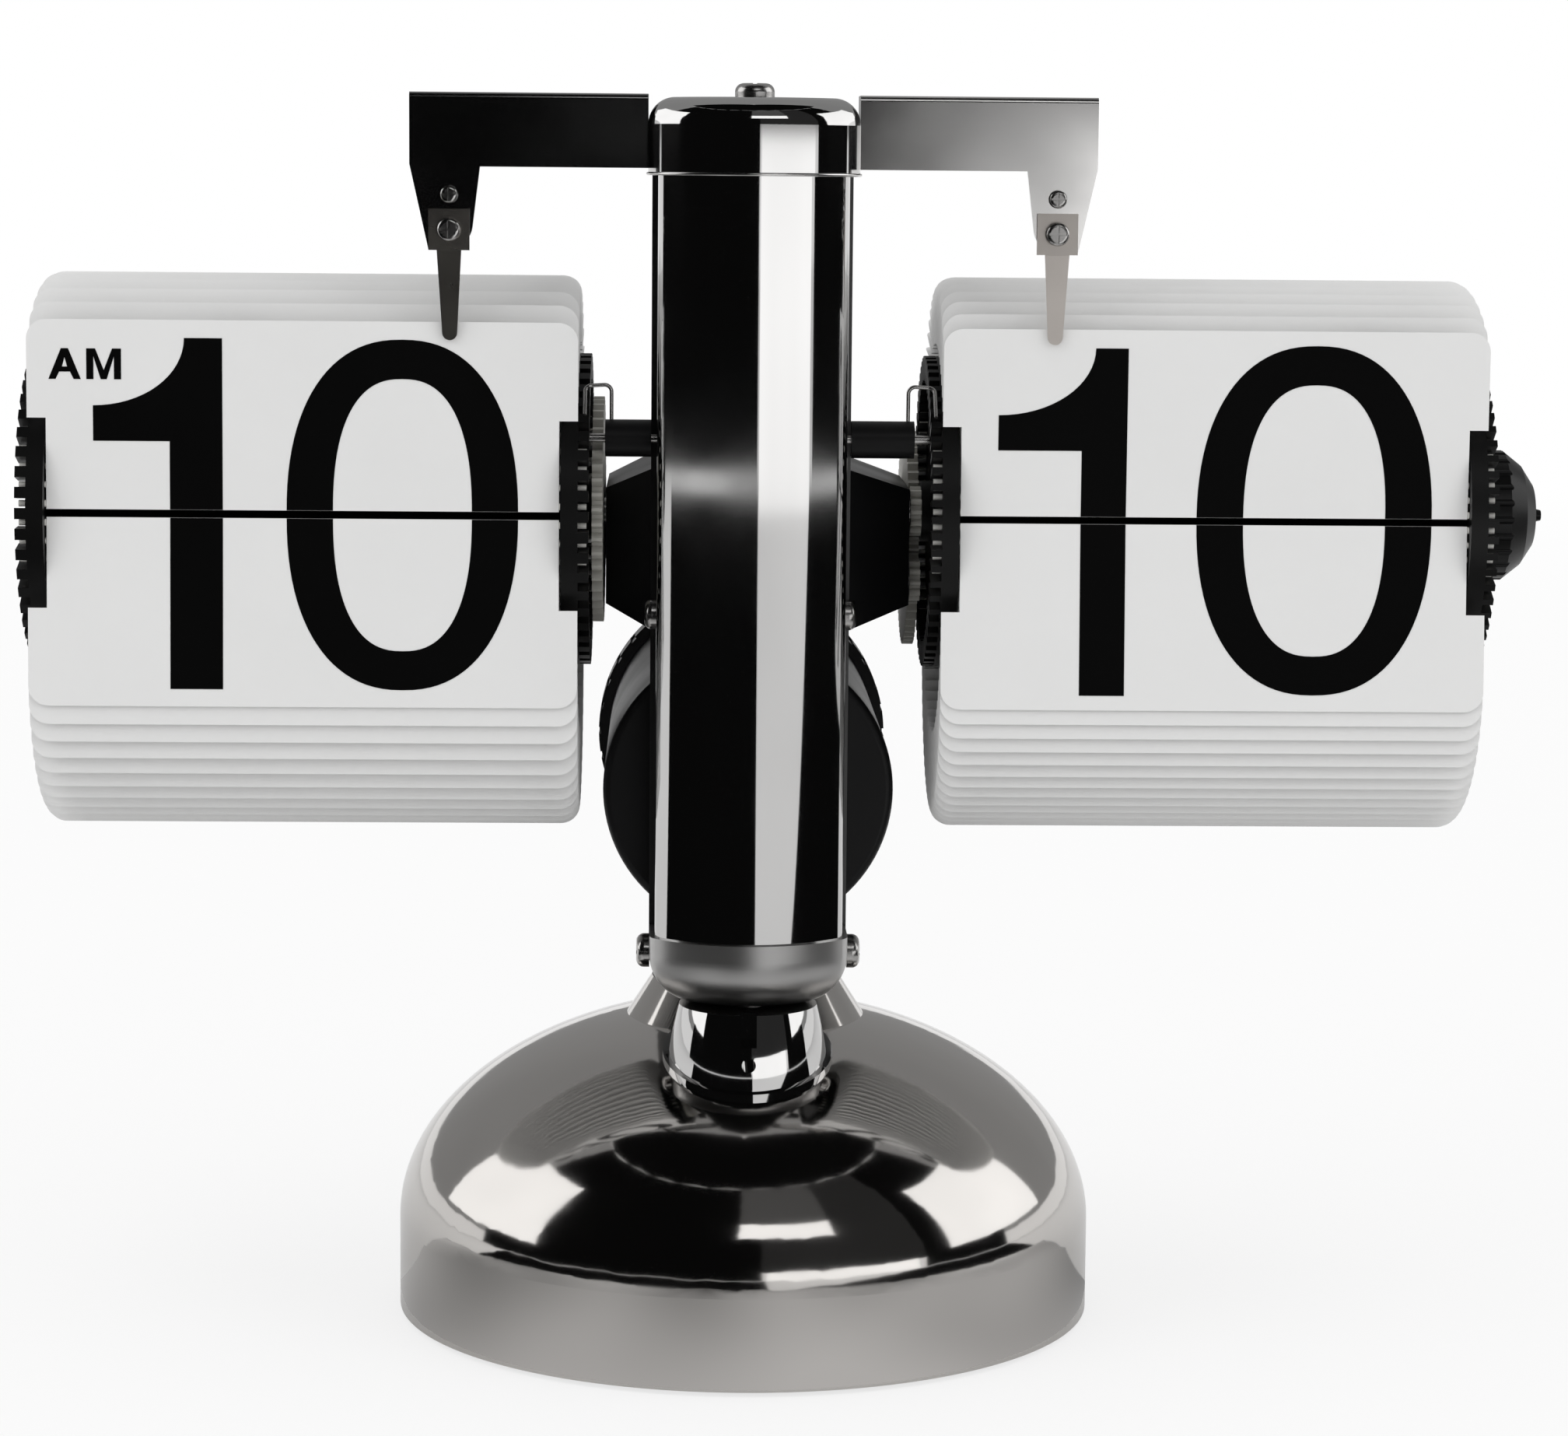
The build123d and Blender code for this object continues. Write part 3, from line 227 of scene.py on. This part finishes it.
def one(prefix, flag_x, steps=16):
    """A figure one whose flag's top edge sweeps up into the stem."""
    stem_from, stem_to = (flag_x + x for x in ones[prefix]["stem"])
    low, high = ones[prefix]["height"]
    flag_low, flag_high = ones[prefix]["flag"]
    loop = [(stem_to, high), (stem_to, low), (stem_from, low), (stem_from, flag_low), (flag_x, flag_low)]
    turn_x = stem_from + 0.28 * (stem_to - stem_from)
    for step in range(steps + 1):
        angle = math.pi / 2 * step / steps
        loop.append((flag_x + (turn_x - flag_x) * math.sin(angle), high - (high - flag_high) * math.cos(angle)))
    return [loop]


def letter_a(x, low, width, height, stroke):
    top = low + height
    bar = low + 0.24 * height
    outer = [(x, low), (x + 0.5 * (width - stroke), top), (x + 0.5 * (width + stroke), top), (x + width, low),
             (x + width - stroke, low), (x + 0.80 * width - 0.6 * stroke, bar),
             (x + 0.20 * width + 0.6 * stroke, bar), (x + stroke, low)]
    hole_low = bar + 0.72 * stroke
    hole = [(x + 0.5 * width, top - 1.25 * stroke), (x + 0.70 * width - 0.55 * stroke, hole_low),
            (x + 0.30 * width + 0.55 * stroke, hole_low)]
    return [outer, hole]


def letter_m(x, low, width, height, stroke):
    top = low + height
    middle = x + width / 2
    return [[(x, low), (x, top), (x + 1.25 * stroke, top), (middle, low + 1.3 * stroke),
             (x + width - 1.25 * stroke, top), (x + width, top), (x + width, low), (x + width - stroke, low),
             (x + width - stroke, top - 1.1 * stroke), (middle + 0.42 * stroke, low),
             (middle - 0.42 * stroke, low), (x + stroke, top - 1.1 * stroke), (x + stroke, low)]]


def leaf_frame(prefix, index):
    """Hinge point and lean of a leaf, as in the drum's own layout."""
    facts = sides[prefix]
    angle = 2 * math.pi * (index + split_share) / facts["count"]
    around = math.degrees(angle)
    swing = (facts["rear"] + facts["front"]) * max(0.0, around - 180) / 180
    hanging = 180 - facts["rear"] + swing
    lean = math.radians(min(around - facts["lift"], hanging))
    hinge = Vector((0, -hinge_radius * math.cos(angle), split_z + hinge_radius * math.sin(angle)))
    return hinge, lean


def mesh_of(curve):
    """The mesh that Blender fills or bevels from a curve."""
    holder = link(bpy.data.objects.new(curve.name + "_outline", curve))
    bpy.context.view_layer.update()
    mesh = bpy.data.meshes.new_from_object(holder.evaluated_get(bpy.context.evaluated_depsgraph_get()))
    bpy.data.objects.remove(holder)
    mesh.materials.clear()
    return mesh


def add_spline(curve, points):
    spline = curve.splines.new("POLY")
    spline.points.add(len(points) - 1)
    for place, point in zip(spline.points, points):
        place.co = (*point, 1)
    return spline


def add_piece(name, mesh, finish, body):
    mesh.materials.append(finish)
    piece = link(bpy.data.objects.new(name, mesh))
    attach(piece, body)


def half_glyph(name, loops, keep_low, edge):
    """A thin raised print of the loops, kept below or above the edge, in millimetres."""
    curve = bpy.data.curves.new(name, "CURVE")
    curve.dimensions = "2D"
    curve.fill_mode = "BOTH"
    curve.extrude = print_depth / 2
    for loop in loops:
        add_spline(curve, [(x, z, 0) for x, z in loop]).use_cyclic_u = True
    mesh = mesh_of(curve)
    shape = bmesh.new()
    shape.from_mesh(mesh)
    bmesh.ops.remove_doubles(shape, verts=shape.verts, dist=1e-5)
    bmesh.ops.bisect_plane(shape, geom=shape.verts[:] + shape.edges[:] + shape.faces[:], plane_co=(0, edge, 0),
                           plane_no=(0, 1, 0) if keep_low else (0, -1, 0), clear_outer=True)
    open_edges = [e for e in shape.edges if e.is_boundary]
    if open_edges:
        bmesh.ops.holes_fill(shape, edges=open_edges, sides=0)
    return mesh, shape


def print_on(name, prefix, index, loops, upper, body):
    """Prints the upper half of a glyph on a leaf's front, or the lower half on its other face."""
    facts = sides[prefix]
    shown, _ = leaf_frame(prefix, 0 if upper else facts["count"] - 1)
    base = shown.z - split_z
    sign = 1 if upper else -1
    mesh, shape = half_glyph(name, loops, not upper, base - sign * (facts["tail"] - print_inset))
    hinge, lean = leaf_frame(prefix, index)
    along = Vector((0, math.sin(lean), math.cos(lean)))
    normal = Vector((0, -math.cos(lean), math.sin(lean)))
    offset = sign * (leaf_thickness / 2 + print_depth / 2 + print_lift)
    for vert in shape.verts:
        x, z, depth = vert.co
        point = hinge + along * (sign * (z - base)) + normal * (offset + depth)
        vert.co = (x * MM, point.y * MM, point.z * MM)
    bmesh.ops.recalc_face_normals(shape, faces=shape.faces)
    shape.to_mesh(mesh)
    shape.free()
    add_piece(name, mesh, ink, body)


hour_ten = [one("hour", -83.8), zero(-59.3, -29.8, -21.9, 22.8, 5.9, 5.0)]
hour_eleven = [one("hour", -79.5), one("hour", -50.5)]
morning = [letter_a(-89.4, 17.5, 4.1, 3.9, 0.9), letter_m(-84.6, 17.5, 4.4, 3.9, 0.9)]
minute_ten = [one("minute", 31.5), zero(57.1, 87.4, -21.9, 22.9, 6.0, 5.0)]
minute_eleven = [one("minute", 35.5), one("minute", 64.5)]
for prefix, now, soon, stamp in (("hour", hour_ten, hour_eleven, morning), ("minute", minute_ten, minute_eleven, [])):
    falling = prefix + "_leaf"
    last = sides[prefix]["count"] - 1
    for index, glyphs, when, rider in ((0, now, "now", falling), (1, soon, "next", "frame")):
        for number, glyph in enumerate(glyphs, 1):
            print_on(f"{prefix}_{when}_upper_{number}", prefix, index, glyph, True, rider)
        for number, glyph in enumerate(stamp, 1):
            print_on(f"{prefix}_{when}_stamp_{number}", prefix, index, glyph, True, rider)
    for number, glyph in enumerate(now, 1):
        print_on(f"{prefix}_now_lower_{number}", prefix, last, glyph, False, "frame")
    for number, glyph in enumerate(soon, 1):
        print_on(f"{prefix}_next_lower_{number}", prefix, 0, glyph, False, falling)

# Thin bright bead along the front of the cap's mouth only, in the lighter chrome: a painted highlight line
highlight_radius = 0.22 * MM
highlight_inset = 0.08 * MM
mouth_height = 0.2 * MM
mouth_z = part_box("top_cap")[0].z
mouth = [vert.co.xy for vert in nodes["top_cap"].data.vertices if vert.co.z < mouth_z + mouth_height]
outline = [mouth[place] for place in convex_hull_2d(mouth)]
middle_y = (min(point.y for point in outline) + max(point.y for point in outline)) / 2
front = sorted((point for point in outline if point.y < middle_y),
               key=lambda point: math.atan2(point.x, middle_y - point.y))
highlight_curve = bpy.data.curves.new("cap_painted_highlight", "CURVE")
highlight_curve.dimensions = "3D"
highlight_curve.bevel_depth = highlight_radius
highlight_curve.bevel_resolution = 4
highlight_curve.use_fill_caps = True
add_spline(highlight_curve, [(point.x, point.y + highlight_inset, mouth_z + highlight_radius) for point in front])
highlight_mesh = mesh_of(highlight_curve)
for face in highlight_mesh.polygons:
    face.use_smooth = True
add_piece("cap_painted_highlight", highlight_mesh, arm_highlight_chrome, "frame")

# Studio: pale floor, pale world, soft lights, and panels that only reflections see
light_level = 0.72
panel_lift = 0.0004
panel_centre_z = 0.09
floor_half = 6.0
floor_drop = 0.00002
light_target = Vector((0, 0, 0.08))


def emitter(name, strength, least=0.94, cells=1.5):
    """A glowing panel whose strength wanders from the least share of it to all of it."""
    made = bpy.data.materials.new(name)
    made.use_nodes = True
    tree = made.node_tree
    tree.nodes.remove(tree.nodes["Principled BSDF"])
    glow = tree.nodes.new("ShaderNodeEmission")
    tree.links.new(spread(tree, noise(tree, cells, 1.0), least * strength, strength), glow.inputs["Strength"])
    tree.links.new(glow.outputs["Emission"], tree.nodes["Material Output"].inputs["Surface"])
    return made


def add_panel(name, shape, made):
    """Only reflections see a panel: it lights nothing and shades nothing."""
    mesh = bpy.data.meshes.new(name)
    shape.to_mesh(mesh)
    shape.free()
    mesh.materials.append(made)
    piece = link(bpy.data.objects.new(name, mesh))
    piece.visible_camera = False
    piece.visible_diffuse = False
    piece.visible_transmission = False
    piece.visible_shadow = False


def panel(name, from_side, to_side, low, high, made, distance=1.5, steps=12, levels=4):
    """A curved panel around the clock, from one angle off the front to another, between two elevations."""
    shape = bmesh.new()
    rows = []
    for step in range(steps + 1):
        side = math.radians(from_side + (to_side - from_side) * step / steps)
        row = []
        for level in range(levels + 1):
            rise = math.radians(low + (high - low) * level / levels)
            row.append(shape.verts.new((distance * math.cos(rise) * math.sin(side),
                                        -distance * math.cos(rise) * math.cos(side),
                                        panel_centre_z + distance * math.sin(rise))))
        rows.append(row)
    for left, right in zip(rows, rows[1:]):
        for level in range(levels):
            shape.faces.new((left[level], right[level], right[level + 1], left[level + 1]))
    add_panel(name, shape, made)


def floor_panel(name, near_from, near_to, near, far_from, far_to, far, made, steps=24):
    """A flat panel on the floor around the clock, between two distances, its sides at angles off the front."""
    shape = bmesh.new()
    rows = []
    for step in range(steps + 1):
        inner = math.radians(near_from + (near_to - near_from) * step / steps)
        outer = math.radians(far_from + (far_to - far_from) * step / steps)
        rows.append((shape.verts.new((near * math.sin(inner), -near * math.cos(inner), panel_lift)),
                     shape.verts.new((far * math.sin(outer), -far * math.cos(outer), panel_lift))))
    for left, right in zip(rows, rows[1:]):
        shape.faces.new((left[0], right[0], right[1], left[1]))
    add_panel(name, shape, made)


def light(name, place, side, power):
    """A square soft light turned to the middle of the clock."""
    lamp = bpy.data.lights.new(name, "AREA")
    lamp.shape = "SQUARE"
    lamp.size = side
    lamp.energy = power
    holder = link(bpy.data.objects.new(name, lamp))
    holder.location = place
    holder.rotation_euler = (light_target - Vector(place)).to_track_quat("-Z", "Y").to_euler()
    holder.visible_glossy = False


floor_paint = bpy.data.materials.new("studio_floor")
floor_paint.use_nodes = True
tree = floor_paint.node_tree
surface = tree.nodes["Principled BSDF"]
surface.inputs["Roughness"].default_value = 0.9
surface.inputs["Specular IOR Level"].default_value = 0.1
tint(tree, surface, spread(tree, noise(tree, 2.0, 2.0), 0.0, 1.0), (0.93, 0.93, 0.93), (0.95, 0.95, 0.95))
glow = tree.nodes.new("ShaderNodeEmission")
blend = tree.nodes.new("ShaderNodeMixShader")
ray = tree.nodes.new("ShaderNodeLightPath")
share = tree.nodes.new("ShaderNodeMath")
share.operation = "MULTIPLY"
where = tree.nodes.new("ShaderNodeTexCoord")
away = tree.nodes.new("ShaderNodeVectorMath")
away.operation = "LENGTH"
tree.links.new(where.outputs["Object"], away.inputs[0])
tree.links.new(spread(tree, away.outputs["Value"], 0.75, 1.0, 0.25, 1.6), share.inputs[1])
tree.links.new(ray.outputs["Is Camera Ray"], share.inputs[0])
tree.links.new(share.outputs[0], blend.inputs[0])
tree.links.new(surface.outputs["BSDF"], blend.inputs[1])
tree.links.new(glow.outputs["Emission"], blend.inputs[2])
tree.links.new(blend.outputs["Shader"], tree.nodes["Material Output"].inputs["Surface"])

ground = bpy.data.meshes.new("floor")
corners = [(-1, -1), (1, -1), (1, 1), (-1, 1)]
ground.from_pydata([(x * floor_half, y * floor_half, 0) for x, y in corners], [], [(0, 1, 2, 3)])
ground.materials.append(floor_paint)
floor = link(bpy.data.objects.new("floor", ground))
floor.location.z = cad_low[2] - floor_drop

black_panel = emitter("panel_black", 0.004)
dim_panel = emitter("panel_dim", 0.03)
grey_panel = emitter("panel_grey", 0.10)
near_panel = emitter("panel_near", 0.75, 0.25, 9.0)
rear_panel = emitter("panel_rear", 0.32)
white_panel = emitter("panel_white", 1.6)
window_panel = emitter("panel_window", 1.6)
panel("panel_front_dark", -78, 5, -3, 60, black_panel)
panel("panel_right_dark", 60, 94, -3, 60, black_panel)
panel("panel_left_dark", -94, -78, -3, 60, black_panel)
panel("panel_right_low", 5, 60, 3.2, 60, dim_panel)
panel("panel_right_white", 6.5, 57, -12, 3.2, white_panel, 1.4)
panel("panel_centre_window", -3, 32, 27, 37, window_panel, 1.4)
panel("panel_centre_grey", -3, 32, 37, 60, grey_panel, 1.4)
panel("panel_left_window", -118, -72, 5, 42, window_panel, 1.4)
panel("panel_right_window", 70, 116, 5, 42, window_panel, 1.4)
panel("panel_rear_left", -180, -94, 3, 60, rear_panel)
panel("panel_rear_right", 94, 180, 3, 60, rear_panel)
panel("panel_over_front", -110, 110, 60, 89.5, black_panel)
panel("panel_over_left", -180, -110, 60, 89.5, rear_panel)
panel("panel_over_right", 110, 180, 60, 89.5, rear_panel)
floor_panel("panel_floor_near", -100, 100, 0.048, -100, 100, 0.15, near_panel)
floor_panel("panel_floor_left", -84, 6, 0.15, -84, 6, 1.5, black_panel)
floor_panel("panel_floor_right", 12, 95, 0.15, 57, 95, 1.5, black_panel)

world = bpy.data.worlds.new("studio")
bpy.context.scene.world = world
world.use_nodes = True
tree = world.node_tree
sky = tree.nodes["Background"]
sky.inputs["Color"].default_value = (1.0, 1.0, 1.0, 1.0)
seen = tree.nodes.new("ShaderNodeLightPath")
either = tree.nodes.new("ShaderNodeMath")
either.operation = "MAXIMUM"
tree.links.new(seen.outputs["Is Camera Ray"], either.inputs[0])
tree.links.new(seen.outputs["Is Glossy Ray"], either.inputs[1])
also = tree.nodes.new("ShaderNodeMath")
also.operation = "MAXIMUM"
tree.links.new(either.outputs[0], also.inputs[0])
tree.links.new(seen.outputs["Is Transmission Ray"], also.inputs[1])
tree.links.new(spread(tree, also.outputs[0], light_level, 1.0, 0.0, 1.0), sky.inputs["Strength"])

light("light_left", (-1.3, -0.9, 1.0), 0.9, 3.6)
light("light_right", (1.3, -0.9, 1.0), 0.9, 3.6)
light("light_top", (0.0, -0.1, 1.6), 1.2, 4.0)

# Camera, as fitted to the photograph: in front of the split and a little above it
pitch = math.radians(7.34)
yaw = math.radians(1.514)
roll = math.radians(0.506)
stand = Vector((-9.78, -555.0, 43.8 + split_z)) * MM
right = Vector((math.cos(yaw), -math.sin(yaw), 0))
ahead = Vector((math.sin(yaw) * math.cos(pitch), math.cos(yaw) * math.cos(pitch), -math.sin(pitch)))
up = Vector((math.sin(yaw) * math.sin(pitch), math.cos(yaw) * math.sin(pitch), math.cos(pitch)))
across = right * math.cos(roll) + up * math.sin(roll)
upward = up * math.cos(roll) - right * math.sin(roll)
eye = bpy.data.cameras.new("camera")
eye.sensor_fit = "HORIZONTAL"
eye.sensor_width = 36.0
eye.lens = 96.51
eye.clip_start = 0.01
camera = link(bpy.data.objects.new("camera", eye))
camera.matrix_world = Matrix.Translation(stand) @ Matrix((across, upward, -ahead)).transposed().to_4x4()
bpy.context.scene.camera = camera
bpy.context.scene.view_settings.view_transform = "Standard"
